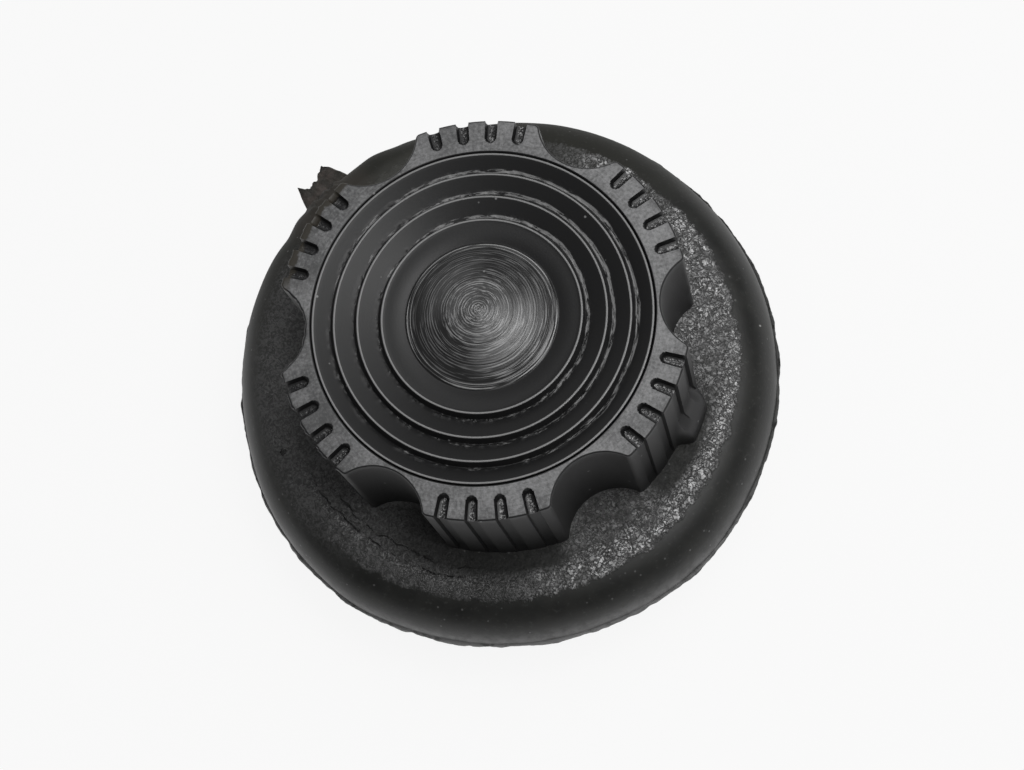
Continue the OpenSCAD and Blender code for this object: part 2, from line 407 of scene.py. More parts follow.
for t in (0.25, 0.5, 0.75, 1.0):
    ring = []
    for x, y, nx, ny, off in columns:
        rr = sqrt(x * x + y * y)
        low = rim_fall * (rr - inner_r) / (grip_r - inner_r)
        inward = edge_r * (1 - sin(t * pi / 2))
        groove = groove_depth * smooth_step((slot_half - abs(off)) / groove_wall) * t
        groove -= left_flash(x, y) * t
        ring.append((x - nx * (inward + groove), y - ny * (inward + groove),
                     rim_z - low - slot_dip(off, grip_r, atan2(y, x)) - edge_r * (1 - cos(t * pi / 2))))
    ring = add_ring(grip_points, ring)
    join_rings(grip_faces, previous, ring)
    previous = ring

flank_rows = 14
for row in range(1, flank_rows + 1):
    ring = []
    for x, y, nx, ny, off in columns:
        low = rim_fall * (sqrt(x * x + y * y) - inner_r) / (grip_r - inner_r)
        top = rim_z - low - slot_dip(off, grip_r, atan2(y, x)) - edge_r
        z = top + (flange_top_z - top) * row / flank_rows
        groove = groove_depth * smooth_step((slot_half - abs(off)) / groove_wall)
        groove -= left_flash(x, y) * smooth_step((z - top + 0.9 * mm) / (0.9 * mm))
        groove *= smooth_step((z - foot_z) / (1.0 * mm))
        swell = foot_bulge(x, y, z)
        groove = groove * (1 - min(1.0, 2.5 * swell)) - 0.0018 * swell
        ring.append((x - nx * groove, y - ny * groove, z))
    ring = add_ring(grip_points, ring)
    join_rings(grip_faces, previous, ring)
    previous = ring

low_count = 240
low_angles = [2 * pi * i / low_count for i in range(low_count)]
low_section = [
    (flange_r - 0.2 * mm, flange_top_z), (flange_r, flange_top_z - 0.2 * mm),
    (flange_r, flange_z + 0.2 * mm), (flange_r - 0.2 * mm, flange_z), (spigot_r, flange_z),
    (spigot_r, 12 * mm), (spigot_r, 7 * mm), (spigot_r, 1.15 * mm), (spigot_r - 0.05 * mm, 0.95 * mm),
    (spigot_r - 0.95 * mm, 0.05 * mm), (spigot_r - 1.1 * mm, 0), (bore_r + 0.3 * mm, 0),
    (bore_r + 0.08 * mm, 0.08 * mm), (bore_r, 0.3 * mm), (bore_r, 12 * mm), (bore_r, 24 * mm),
    (bore_r, ceiling_z - 2.2 * mm), (bore_r - 0.1 * mm, ceiling_z - 1.9 * mm),
    (bore_r - 1.9 * mm, ceiling_z - 0.1 * mm), (bore_r - 2.2 * mm, ceiling_z), (dome_r, ceiling_z),
    (0.7 * dome_r, ceiling_z + 0.75 * mm), (0.35 * dome_r, ceiling_z + 1.65 * mm),
    (0.1 * dome_r, ceiling_z + 2.35 * mm)]
for i, (r, z) in enumerate(low_section):
    ring = add_ring(grip_points, circle_ring(low_count, r, z))
    if i == 0:
        zip_rings(grip_faces, previous, side_angles, ring, low_angles)
    else:
        join_rings(grip_faces, previous, ring)
    previous = ring
roof = len(grip_points)
grip_points.append((0, 0, ceiling_z + 2.5 * mm))
grip_faces += [(previous[i], roof, previous[(i + 1) % low_count]) for i in range(low_count)]

# The two bayonet lugs, each a curved bar with a sloping cam face, rooted in the spigot's wall
lug_arc = radians(44)
lug_reach = 0.0024
lug_h = 0.0042
lug_z = 0.0016
lug_slope = 0.07
lug_steps = 24
for lug_heading in (0, pi):
    sections = []
    for i in range(lug_steps + 1):
        a = lug_arc * (i / lug_steps - 0.5)
        taper = 1 if 0 < i < lug_steps else 0.96
        cam = lug_z + lug_h + lug_slope * (spigot_r + lug_reach) * sin(a)
        outer = spigot_r + lug_reach * taper
        section = [
            (spigot_r - 0.5 * mm, lug_z), (outer - 1.0 * mm, lug_z), (outer, lug_z + 1.0 * mm),
            (outer, cam - 0.25 * mm), (outer - 0.25 * mm, cam), (spigot_r - 0.5 * mm, cam)]
        q = a + lug_heading
        sections.append(add_ring(grip_points, [(r * cos(q), r * sin(q), z) for r, z in section]))
    for a, b in zip(sections, sections[1:]):
        join_rings(grip_faces, a, b)
    grip_faces.append(tuple(sections[0]))
    grip_faces.append(tuple(sections[-1][::-1]))


def make_piece(name, points, faces, sharp_angle):
    mesh = bpy.data.meshes.new(name)
    mesh.from_pydata(points, [], faces)
    mesh.validate()
    mesh.update()
    for polygon in mesh.polygons:
        polygon.use_smooth = True
    mesh.set_sharp_from_angle(angle=sharp_angle)
    piece = bpy.data.objects.new(name, mesh)
    bpy.context.scene.collection.objects.link(piece)
    return piece


grip = make_piece("grip_moulding", grip_points, grip_faces, radians(35))


def scaled(tree, value, share, offset):
    # value * share + offset
    return sums(tree, "MULTIPLY_ADD", value, share, offset)


def ramp(tree, value, low, high):
    # 0 below low, 1 above high and a smooth rise between; low may be the greater
    node = add_node(tree, "ShaderNodeMapRange", {"Value": value, "From Min": low, "From Max": high},
                    interpolation_type="SMOOTHSTEP")
    return node.outputs["Result"]


def band(tree, value, low, high, soft):
    # 1 between low and high, with soft ends
    rise = ramp(tree, value, low - soft, low + soft)
    fall = ramp(tree, value, high + soft, high - soft)
    return times(tree, rise, fall)


def tint(tree, share, a, b):
    # Blends a colour a into b by a mask
    mixer = add_node(tree, "ShaderNodeMix", {"Factor": share}, data_type="RGBA")
    for name, value in (("A", a), ("B", b)):
        socket = next(s for s in mixer.inputs if s.name == name and s.type == "RGBA")
        if isinstance(value, bpy.types.NodeSocket):
            tree.links.new(value, socket)
        else:
            socket.default_value = (*value, 1)
    return next(s for s in mixer.outputs if s.type == "RGBA")


def noise_at(tree, place, scale, detail=3.0, rough=0.55):
    node = add_node(tree, "ShaderNodeTexNoise",
                    {"Vector": place, "Scale": scale, "Detail": detail, "Roughness": rough})
    return node.outputs["Fac"]


def new_group(name, inputs, outputs):
    group = bpy.data.node_groups.new(name, "ShaderNodeTree")
    for label, kind, value in inputs:
        socket = group.interface.new_socket(name=label, in_out="INPUT", socket_type=kind)
        if value is not None:
            socket.default_value = value
    for label, kind in outputs:
        group.interface.new_socket(name=label, in_out="OUTPUT", socket_type=kind)
    return group, group.nodes.new("NodeGroupInput"), group.nodes.new("NodeGroupOutput")


# Round place: distance from the cap's axis, height and a direction without a seam
place_group, place_in, place_out = new_group(
    "round_place", [],
    [("Place", "NodeSocketVector"), ("Radius", "NodeSocketFloat"), ("Height", "NodeSocketFloat"),
     ("Ring Place", "NodeSocketVector")])
where = add_node(place_group, "ShaderNodeTexCoord").outputs["Object"]
parts = add_node(place_group, "ShaderNodeSeparateXYZ", {0: where})
flat_place = add_node(place_group, "ShaderNodeCombineXYZ", {0: parts.outputs[0], 1: parts.outputs[1]})
radius = add_node(place_group, "ShaderNodeVectorMath", {0: flat_place.outputs[0]}, operation="LENGTH")
heading = add_node(place_group, "ShaderNodeVectorMath", {0: flat_place.outputs[0]}, operation="NORMALIZE")
heading_parts = add_node(place_group, "ShaderNodeSeparateXYZ", {0: heading.outputs[0]})
ring_place = add_node(place_group, "ShaderNodeCombineXYZ",
                      {0: times(place_group, radius.outputs["Value"], 1000.0),
                       1: heading_parts.outputs[0], 2: heading_parts.outputs[1]})
place_group.links.new(where, place_out.inputs["Place"])
place_group.links.new(radius.outputs["Value"], place_out.inputs["Radius"])
place_group.links.new(parts.outputs[2], place_out.inputs["Height"])
place_group.links.new(ring_place.outputs[0], place_out.inputs["Ring Place"])


def new_material(name):
    # A material with its tree, its output and the round place of the point that it shades
    material = bpy.data.materials.new(name)
    material.use_nodes = True
    tree = material.node_tree
    tree.nodes.clear()
    surface = add_node(tree, "ShaderNodeOutputMaterial")
    return material, tree, surface, add_node(tree, "ShaderNodeGroup", node_tree=place_group)


def shade(tree, surface, colour, gloss, relief, relief_depth, ior):
    bump = add_node(tree, "ShaderNodeBump", {"Strength": 1.0, "Distance": relief_depth, "Height": relief})
    shader = add_node(tree, "ShaderNodeBsdfPrincipled",
                      {"Base Color": colour, "Roughness": gloss, "Normal": bump.outputs[0], "IOR": ior})
    tree.links.new(shader.outputs[0], surface.inputs["Surface"])


# Specks: sparse pale grains of dust and moulding grit
speck_group, speck_in, speck_out = new_group(
    "dust_specks",
    [("Place", "NodeSocketVector", None), ("Scale", "NodeSocketFloat", 900.0),
     ("Amount", "NodeSocketFloat", 0.1)],
    [("Mask", "NodeSocketFloat")])
speck_cells = add_node(speck_group, "ShaderNodeTexVoronoi",
                       {"Vector": speck_in.outputs["Place"], "Scale": speck_in.outputs["Scale"]})
speck_pick = add_node(speck_group, "ShaderNodeSeparateColor", {0: speck_cells.outputs["Color"]})
speck_few = sums(speck_group, "LESS_THAN", speck_pick.outputs[0], speck_in.outputs["Amount"])
speck_dot = ramp(speck_group, speck_cells.outputs["Distance"], 0.3, 0.12)
speck_group.links.new(times(speck_group, speck_few, speck_dot), speck_out.inputs["Mask"])

# Directions in degrees round the axis, for what lies on one side of the plastic only: the painted highlights
# of the dome's fan and of the slots' floors, and the rubber skin that crept over one lobe
fan_highlight_azimuth = -42
back_fan_highlight_azimuth = 140
slot_highlight_azimuth = -20
crept_azimuth = 146
feed_step = 0.33 * mm

plastic, tree, surface, place = new_material("black_hard_plastic")
r = place.outputs["Radius"]
z = place.outputs["Height"]
xyz = place.outputs["Place"]
ring_xyz = place.outputs["Ring Place"]

up = add_node(tree, "ShaderNodeSeparateXYZ", {0: add_node(tree, "ShaderNodeNewGeometry").outputs["Normal"]})
facing_up = up.outputs[2]
flat_top = ramp(tree, facing_up, 0.93, 0.985)
in_slot = times(tree, band(tree, z, rim_z - 1.7 * mm, rim_z - 0.75 * mm, 0.08 * mm),
                times(tree, flat_top, ramp(tree, r, 23.4 * mm, 23.6 * mm)))
on_rim = times(tree, ramp(tree, r, relief_r, relief_r + 0.15 * mm),
               ramp(tree, z, rim_z - 0.5 * mm, rim_z - 0.2 * mm))
on_rim = times(tree, on_rim, flat_top)
on_dome = times(tree, ramp(tree, r, dome_r + 0.15 * mm, dome_r - 0.1 * mm),
                ramp(tree, z, rim_z - 2 * mm, rim_z - 1.5 * mm))
on_top = ramp(tree, z, rim_z - 1.6 * mm, rim_z - 1.4 * mm)


def ring_noise(tree, place, across, along, detail=0.0, rough=0.5):
    # Noise drawn out along circles: across counts per mm of radius, along per radian
    stretched = add_node(tree, "ShaderNodeVectorMath", {0: place, 1: (across, along, along)},
                         operation="MULTIPLY")
    return noise_at(tree, stretched.outputs[0], 1.0, detail, rough)


def side(tree, ring_place, azimuth, low, high):
    # Rises to 1 towards an azimuth; low and high are cosines of the angle from it
    pointer = (0, cos(radians(azimuth)), sin(radians(azimuth)))
    cosine = add_node(tree, "ShaderNodeVectorMath", {0: ring_place, 1: pointer}, operation="DOT_PRODUCT")
    return ramp(tree, cosine.outputs["Value"], low, high)


# Turned marks of the dome: fine circles, some of them broken, over the tool's even feed
turned_even = ring_noise(tree, ring_xyz, 7.0, 0.35, 1.0)
turned_broken = ring_noise(tree, ring_xyz, 7.5, 2.6, 1.0)
feed_phase = scaled(tree, r, 2 * pi / feed_step, times(tree, turned_even, 7.0))
feed = scaled(tree, sums(tree, "SINE", feed_phase), 0.16, 0.5)
turned_fine = sums(tree, "ADD", times(tree, turned_even, 0.22), times(tree, turned_broken, 0.46))
turned_fine = scaled(tree, feed, 0.32, turned_fine)
turned_mid = ring_noise(tree, ring_xyz, 3.2, 0.5)
turned_broad = ring_noise(tree, ring_xyz, 0.8, 0.3)
turned = sums(tree, "ADD", times(tree, turned_fine, 0.8), times(tree, turned_mid, 0.3))
turned = sums(tree, "ADD", turned, times(tree, turned_broad, 0.15))

# Wear of the rim, grain for the slots' floors and their painted highlight, and dust
mottle = noise_at(tree, xyz, 2600, 4.0, 0.6)
clouds = noise_at(tree, xyz, 170, 2.0, 0.5)
streaks = ring_noise(tree, ring_xyz, 1.1, 60, 3.0, 0.65)
rubs = ring_noise(tree, ring_xyz, 7, 6, 2.0, 0.6)
grit = noise_at(tree, xyz, 3800, 2.0, 0.5)
specks = add_node(tree, "ShaderNodeGroup", {"Place": xyz, "Scale": 1300.0, "Amount": 0.016},
                  node_tree=speck_group).outputs["Mask"]

# Painted highlights along the chipped valleys at the foot of each sharp drop, stronger towards one side, and
# along the crests
wander = ring_noise(tree, ring_xyz, 0.4, 3.0, 2.0)
torn_r = scaled(tree, wander, -0.9 * mm, sums(tree, "ADD", r, 0.43 * mm))
valley_highlights = None
for ring in sharp_rings[:3]:
    one = band(tree, torn_r, ring + ring_drop_w - 0.1 * mm, ring + ring_drop_w + 0.34 * mm, 0.08 * mm)
    valley_highlights = one if valley_highlights is None else either(tree, valley_highlights, one)
ragged = ring_noise(tree, ring_xyz, 3, 9, 5.0, 0.7)
highlight_side_share = add_node(tree, "ShaderNodeVectorMath", {0: ring_xyz, 1: (0, 0.82, 0.57)},
                      operation="DOT_PRODUCT").outputs["Value"]
ragged = ramp(tree, scaled(tree, highlight_side_share, 0.11, ragged), 0.50, 0.62)
valley_highlights = times(tree, times(tree, valley_highlights, ragged), on_top)
crest_highlights = None
for ring in sharp_rings:
    one = band(tree, r, ring - 0.09 * mm, ring + 0.12 * mm, 0.05 * mm)
    crest_highlights = one if crest_highlights is None else either(tree, crest_highlights, one)
crest_highlights = times(tree, crest_highlights, ramp(tree, z, rim_z - 0.4 * mm, rim_z - 0.15 * mm))

# Colours: the scuffed rim, painted a little lighter on its right side; the slots with a painted highlight on
# their floors; painted highlights in the valleys and on the crests; the dome, with a painted highlight fan
# to the lower right and its turned lines painted as glints there
ring_parts = add_node(tree, "ShaderNodeSeparateXYZ", {0: ring_xyz})
lit_right_side = scaled(tree, ring_parts.outputs[1], 0.5, 0.5)
scuffs_and_side_light = sums(tree, "ADD", times(tree, mottle, 0.34), times(tree, streaks, 0.16))
scuffs_and_side_light = sums(tree, "ADD", scuffs_and_side_light, times(tree, rubs, 0.12))
scuffs_and_side_light = sums(tree, "ADD", scuffs_and_side_light, times(tree, clouds, 0.3))
# The rim's scuffs also carry painted light: the rim is painted a little lighter on its right side
scuffs_and_side_light = sums(tree, "ADD", scuffs_and_side_light, times(tree, lit_right_side, 0.08))
rim_tone = tint(tree, ramp(tree, scuffs_and_side_light, 0.37, 0.67), (0.09, 0.091, 0.092), (0.33, 0.33, 0.334))
colour = tint(tree, on_rim, (0.009, 0.009, 0.0095), rim_tone)
# Painted highlight on the slots' floors, strong on the near side and broken up by the grit noise
slot_painted_highlight = scaled(tree, side(tree, ring_xyz, slot_highlight_azimuth, -0.8, -0.2), 0.85, 0.15)
slot_painted_highlight = times(tree, slot_painted_highlight, ramp(tree, grit, 0.5, 0.66))
slot_tone = tint(tree, slot_painted_highlight, (0.02, 0.02, 0.021), (0.34, 0.34, 0.34))
colour = tint(tree, in_slot, colour, slot_tone)
# Pale colour painted in the chipped valleys as a highlight
colour = tint(tree, times(tree, valley_highlights, 0.85), colour, (0.30, 0.30, 0.30))
# The turned lines are painted pale as glints, most of all on the side of the painted fan
fan_highlight_side = side(tree, ring_xyz, fan_highlight_azimuth, 0.35, 0.97)
scored_glints = times(tree, on_dome, ramp(tree, turned_fine, 0.49, 0.58))
scored_glints = times(tree, scored_glints, scaled(tree, ramp(tree, turned_mid, 0.35, 0.55), 0.6, 0.4))
scored_glint_share = scaled(tree, ramp(tree, r, 5.2 * mm, 4.3 * mm), 0.35, 0.35)
scored_glint_share = either(tree, scored_glint_share, times(tree, fan_highlight_side, 0.85))
scored_glints = times(tree, scored_glints, scored_glint_share)
dark_lines = either(tree, band(tree, r, 4.34 * mm, 4.48 * mm, 0.05 * mm),
                    band(tree, r, 6.95 * mm, 7.05 * mm, 0.05 * mm))
dome_tone = tint(tree, ramp(tree, r, 4.7 * mm, 4.2 * mm), (0.022, 0.022, 0.0223), (0.06, 0.06, 0.0605))
# A painted highlight fan on the dome to the lower right and a weaker one opposite
painted_fan_highlight = times(tree, side(tree, ring_xyz, fan_highlight_azimuth, 0.3, 0.97), ramp(tree, r, 8.6 * mm, 6.6 * mm))
painted_back_fan_highlight = times(tree, side(tree, ring_xyz, back_fan_highlight_azimuth, 0.4, 1.0), ramp(tree, r, 8.6 * mm, 6.6 * mm))
painted_fan_highlight = scaled(tree, painted_back_fan_highlight, 0.3, painted_fan_highlight)
dome_tone = tint(tree, painted_fan_highlight, dome_tone, (0.145, 0.145, 0.146))
edge_lines = either(tree, band(tree, r, 9.66 * mm, 9.78 * mm, 0.05 * mm),
                    band(tree, r, 9.22 * mm, 9.30 * mm, 0.05 * mm))
edge_lines = times(tree, edge_lines, ramp(tree, turned_broken, 0.33, 0.5))
line_share = times(tree, on_dome, 0.9)
colour = tint(tree, on_dome, colour, dome_tone)
colour = tint(tree, scored_glints, colour, (0.44, 0.44, 0.443))
colour = tint(tree, times(tree, edge_lines, line_share), colour, (0.5, 0.5, 0.5))
colour = tint(tree, times(tree, dark_lines, line_share), colour, (0.01, 0.01, 0.01))
# Pale colour painted on the crests as a highlight
colour = tint(tree, times(tree, crest_highlights, 0.75), colour, (0.40, 0.40, 0.40))
colour = tint(tree, specks, colour, (0.25, 0.25, 0.25))

# Brownish rubber skin that crept over the outer rim of the lobe by the torn tab
creep_noise = noise_at(tree, xyz, 700, 3.0, 0.6)
creep_r = scaled(tree, creep_noise, 1.8 * mm, sums(tree, "SUBTRACT", r, 0.9 * mm))
crept = times(tree, ramp(tree, creep_r, 25.9 * mm, 26.3 * mm),
              side(tree, ring_xyz, crept_azimuth, 0.90, 0.96))
crept = times(tree, crept, on_top)
colour = tint(tree, crept, colour, tint(tree, clouds, (0.03, 0.027, 0.019), (0.06, 0.052, 0.043)))

gloss = scaled(tree, on_rim, 0.1, 0.45)
gloss = scaled(tree, valley_highlights, 0.05, gloss)
gloss = scaled(tree, on_dome, -0.14, gloss)
gloss = scaled(tree, crest_highlights, -0.13, gloss)
gloss = scaled(tree, in_slot, -0.2, gloss)

relief = times(tree, times(tree, turned, on_dome), 2.2)
relief = sums(tree, "ADD", relief, times(tree, times(tree, scuffs_and_side_light, on_rim), 1.4))
relief = sums(tree, "ADD", relief, times(tree, grit, scaled(tree, in_slot, 1.6, 0.14)))
shade(tree, surface, colour, gloss, relief, 0.00007, 1.5)
grip.data.materials.append(plastic)
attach(grip, "root")
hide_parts("grip_body")

# Rubber cover. One soft black rubber moulding, cast over the grip's flange: a wrinkled flat top
# round the grip, a smooth round shoulder, a skirt with moulding flash and a sealing land inside.
# It sits a little off the grip's axis, as on the real cap.
flat_r = 0.0310
flat_z = 0.0197
skirt_r = 0.0376
cover_r = 0.0380
wall_z = 0.0127
skirt_z = 0.0120
pocket_r = 0.0333
pocket_flare = 0.0005
land_z = 0.0155
bead_circle_r = 0.0270
bead_r = 0.0007
cover_shift = Vector((-0.00091, -0.00037, 0))
cover_columns = 840
inset = 0.0004
wrinkle_seed = 3

side_radii = [sqrt(c[0] ** 2 + c[1] ** 2) for c in columns]
cover_angles = [2 * pi * i / cover_columns for i in range(cover_columns)]
foot_radii = np.interp(cover_angles, side_angles + [side_angles[0] + 2 * pi],
                       side_radii + [side_radii[0]], period=None)


def grain_share(x, y):
    # How strong the wrinkles are: full on the near right side, faint on the far left
    size = max(sqrt(x * x + y * y), 1e-6)
    return 0.3 + 0.7 * smooth_step(((0.82 * x - 0.57 * y) / size + 0.6) / 0.9)


def lumps(x, y):
    # Flow lumps of the rubber between the two lobes on the far right
    heading = degrees(atan2(y, x)) % 360
    share = within(heading, 30, 88, 15, 12)
    return share * noise.fractal(Vector((x, y, 0.9)) * 850, 0.6, 2.1, 3)


noise.seed_set(wrinkle_seed)


def leather(x, y):
    # Wrinkled skin, from -1 in a crease to 1 on a bump; its warp is drawn from the seed
    warp = noise.noise_vector(Vector((x, y, 0.3)) * 900) * 0.35
    near = noise.voronoi(Vector((x, y, 0)) * 1900 + warp)[0]
    cell = min((near[1] - near[0]) * 2.2, 1.0)
    grain = noise.fractal(Vector((x, y, 0.7)) * 2600, 0.7, 2.1, 2)
    broad = noise.noise(Vector((x, y, 0.2)) * 330)
    return 1.1 * (cell - 0.5) + 0.55 * grain + 0.8 * broad


cover_points = []
cover_faces = []
cover_rings = []
top_rows = 34
for row in range(top_rows + 1):
    share = row / top_rows
    ring = []
    for a, foot_r in zip(cover_angles, foot_radii):
        r0 = foot_r - inset
        rr = r0 + (flat_r - r0) * share
        x, y = rr * cos(a), rr * sin(a)
        z = foot_z + (flat_z - foot_z) * smooth_step((rr - waist_r) / (flat_r - waist_r))
        clear = rr - foot_r
        z += 0.25 * mm * (1 - smooth_step(clear / (0.7 * mm)))
        z += 0.085 * mm * leather(x, y) * grain_share(x, y) + 0.22 * mm * lumps(x, y)
        shift = cover_shift * smooth_step((rr - 27 * mm) / (6 * mm))
        ring.append((x + shift.x, y + shift.y, z))
    cover_rings.append(ring)

tab_heading = radians(132)
tab_half = 3.9
swells = ((313, 14, 0.40), (330, 60, 0.38), (42, 12, -0.20), (112, 8, 0.65), (149, 9, 0.60), (163, 9, 0.30),
          (191, 10, -0.26), (236, 8, 0.35), (222, 12, 0.15), (75, 12, 0.15))


def out_of_round(a):
    # How far the soft cover swells out, or in, at an angle: the moulding isn't quite round
    total = 0.0
    for heading, half_w, height in swells:
        off = (degrees(a) - heading + 180) % 360 - 180
        total += height * exp(-(off / half_w) ** 2)
    return total * mm


def tab_root(x, y, base_r):
    # Torn, raised skin that leads out to the tab
    aside = (atan2(y, x) - tab_heading) * base_r
    share = smooth_step((tab_half * mm - abs(aside)) / (2.0 * mm))
    share *= smooth_step((base_r - 33.5 * mm) / (3 * mm))
    wide = smooth_step((aside + 13 * mm) / (5 * mm)) * smooth_step((8.5 * mm - aside) / (4 * mm))
    wide *= smooth_step((base_r - 34 * mm) / (3 * mm))
    lump = 0.25 + 0.5 * noise.fractal(Vector((x, y, 0.1)) * 700, 0.6, 2.1, 3)
    return (0.75 * wide + share * lump) * mm


shoulder_rows = 42
fall = [pi / 2 * i / 400 for i in range(401)]
arc = np.concatenate([[0], np.cumsum([
    sqrt(((skirt_r - flat_r) * (sin(b) - sin(a))) ** 2 + ((flat_z - wall_z) * (cos(b) - cos(a))) ** 2)
    for a, b in zip(fall, fall[1:])])])
for row in range(1, shoulder_rows + 1):
    u = float(np.interp(arc[-1] * row / shoulder_rows, arc, fall))
    base_r = flat_r + (skirt_r - flat_r) * sin(u)
    base_z = wall_z + (flat_z - wall_z) * cos(u)
    ring = []
    for a in cover_angles:
        x, y = base_r * cos(a), base_r * sin(a)
        fade = 1 - smooth_step((base_r - flat_r) / (2.4 * mm))
        wrinkle = (0.085 * leather(x, y) * grain_share(x, y) + 0.22 * lumps(x, y)) * mm * fade
        uneven = noise.noise(Vector((x, y, base_z)) * 190) * 0.05 * mm
        out = wrinkle + uneven + tab_root(x, y, base_r)
        nr = sin(u) * (flat_z - wall_z)
        nz = cos(u) * (skirt_r - flat_r)
        size = sqrt(nr * nr + nz * nz)
        shift = cover_shift * smooth_step((base_r - 27 * mm) / (6 * mm))
        wide = out_of_round(a) * smooth_step((base_r - flat_r) / (4 * mm))
        x, y = x + wide * cos(a), y + wide * sin(a)
        ring.append((x + out * nr / size * cos(a) + shift.x, y + out * nr / size * sin(a) + shift.y,
                     base_z + out * nz / size))
    cover_rings.append(ring)


def cover_ring(radius, height, ragged=0.0):
    ring = []
    for a in cover_angles:
        x, y = cos(a), sin(a)
        rr = radius + ragged * noise.fractal(Vector((x, y, height * 50)) * 14, 0.6, 2.1, 3)
        if radius > 35 * mm:
            rr += out_of_round(a)
        if radius > skirt_r:
            rr += 0.75 * mm * smooth_step((tab_root(radius * x, radius * y, radius) / mm - 0.1) / 0.6)
        shift = cover_shift if radius > 30 * mm else Vector((0, 0, 0))
        ring.append((rr * x + shift.x, rr * y + shift.y, height))
    return ring


cover_rings += [
    cover_ring(skirt_r + 0.05 * mm, wall_z - 0.05 * mm, 0.05 * mm),
    cover_ring(cover_r - 0.08 * mm, wall_z - 0.1 * mm, 0.16 * mm),
    cover_ring(cover_r, wall_z - 0.25 * mm, 0.2 * mm), cover_ring(cover_r, skirt_z + 0.2 * mm, 0.2 * mm),
    cover_ring(cover_r - 0.2 * mm, skirt_z, 0.1 * mm), cover_ring(36 * mm, skirt_z),
    cover_ring(pocket_r + pocket_flare + 0.25 * mm, skirt_z),
    cover_ring(pocket_r + pocket_flare, skirt_z + 0.2 * mm),
    cover_ring(pocket_r + 0.04 * mm, land_z - 0.3 * mm), cover_ring(pocket_r - 0.25 * mm, land_z)]
for i in range(9):
    q = pi * i / 8
    cover_rings.append(cover_ring(bead_circle_r + bead_r * cos(q), land_z - bead_r * sin(q)))
cover_rings += [cover_ring(spigot_r, land_z), cover_ring(spigot_r, flange_z),
                cover_ring(flange_r, flange_z), cover_ring(flange_r, flange_top_z)]
cover_rings.append([((foot_r - inset) * cos(a), (foot_r - inset) * sin(a), flange_top_z)
                    for a, foot_r in zip(cover_angles, foot_radii)])
rings = [add_ring(cover_points, ring) for ring in cover_rings]
for a, b in zip(rings, rings[1:] + rings[:1]):
    join_rings(cover_faces, a, b)
cover = make_piece("rubber_moulding", cover_points, cover_faces, radians(40))

# Directions in degrees round the axis, for what lies on one side of the rubber only: the lit side with its
# painted glints, the painted shade by the front lobes, painted reflections and highlights, the creases, the
# dust and the tab's foot
lit_azimuth = -8
brightest_glint_azimuth = 8
grip_shade_azimuth = -62
front_gap_azimuth = -60
far_azimuth = 105
left_azimuth = 185
crease_azimuth = 236
wall_reflection_azimuth = 255
highlight_patch_azimuth = 119
tab_azimuth = 134
lip_highlight_azimuth = 240
facet_drift = 0.0016
facets_per_m = 1450.0
folds_per_m = 480.0

rubber, tree, surface, place = new_material("black_rubber")
r = place.outputs["Radius"]
z = place.outputs["Height"]
xyz = place.outputs["Place"]
ring_xyz = place.outputs["Ring Place"]

# Where the wrinkled skin lies and how pale it is: sharp on the flat top, faded on the left. Its grain is
# painted paler on the right, where the light falls, and darker as painted shade by the feet of the front
# lobes
torn_edge = noise_at(tree, xyz, 520, 4.0, 0.7)
skin_z = scaled(tree, torn_edge, 0.9 * mm, z)
sharp_skin = ramp(tree, skin_z, flat_z + 0.05 * mm, flat_z + 0.25 * mm)
faded_z = scaled(tree, torn_edge, 0.4 * mm, z)
lit_right = side(tree, ring_xyz, lit_azimuth, -0.1, 0.75)
left = side(tree, ring_xyz, left_azimuth, 0.62, 0.9)
faded_skin = times(tree, left, ramp(tree, faded_z, flat_z - 1.3 * mm, flat_z + 0.3 * mm))
on_skin = either(tree, sharp_skin, faded_skin)
far_side = side(tree, ring_xyz, far_azimuth, 0.2, 0.9)
# Painted shade on the skin by the feet of the two front lobes, lighter in the gap between them
grip_foot_shade = times(tree, ramp(tree, r, 30.9 * mm, 29.1 * mm), side(tree, ring_xyz, grip_shade_azimuth, 0.3, 0.85))
between_lobes = side(tree, ring_xyz, front_gap_azimuth, 0.95, 0.99)
grip_foot_shade = times(tree, grip_foot_shade, scaled(tree, between_lobes, -0.6, 1.0))
# The grain is painted paler on the right, where the light falls
paleness_and_light = scaled(tree, lit_right, 0.7, 0.3)
paleness_and_light = either(tree, paleness_and_light, times(tree, left, 0.85))
creased_side = side(tree, ring_xyz, crease_azimuth, 0.82, 0.97)
paleness_and_light = either(tree, paleness_and_light, times(tree, creased_side, 0.75))
paleness_and_light = times(tree, paleness_and_light, scaled(tree, grip_foot_shade, -0.95, 1.0))

# Smooth dark rubber with a pale, smeared bloom low on the wall, painted on the lower left as the floor's
# reflection, a painted olive reflection on the far side, and grain on the wrinkled skin
wrinkled = add_node(tree, "ShaderNodeTexNoise",
                    {"Vector": xyz, "Scale": 1350.0, "Detail": 4.0, "Roughness": 0.62, "Distortion": 1.6})
fine = noise_at(tree, xyz, 3600, 2.0, 0.6)
skin = sums(tree, "ADD", times(tree, wrinkled.outputs["Fac"], 0.7), times(tree, fine, 0.3))
cloudy = noise_at(tree, xyz, 260, 4.0, 0.6)
specks = add_node(tree, "ShaderNodeGroup", {"Place": xyz, "Scale": 1500.0, "Amount": 0.05},
                  node_tree=speck_group).outputs["Mask"]
tone_and_reflections = tint(tree, ramp(tree, cloudy, 0.35, 0.7), (0.006, 0.0065, 0.0055), (0.015, 0.0155, 0.0135))
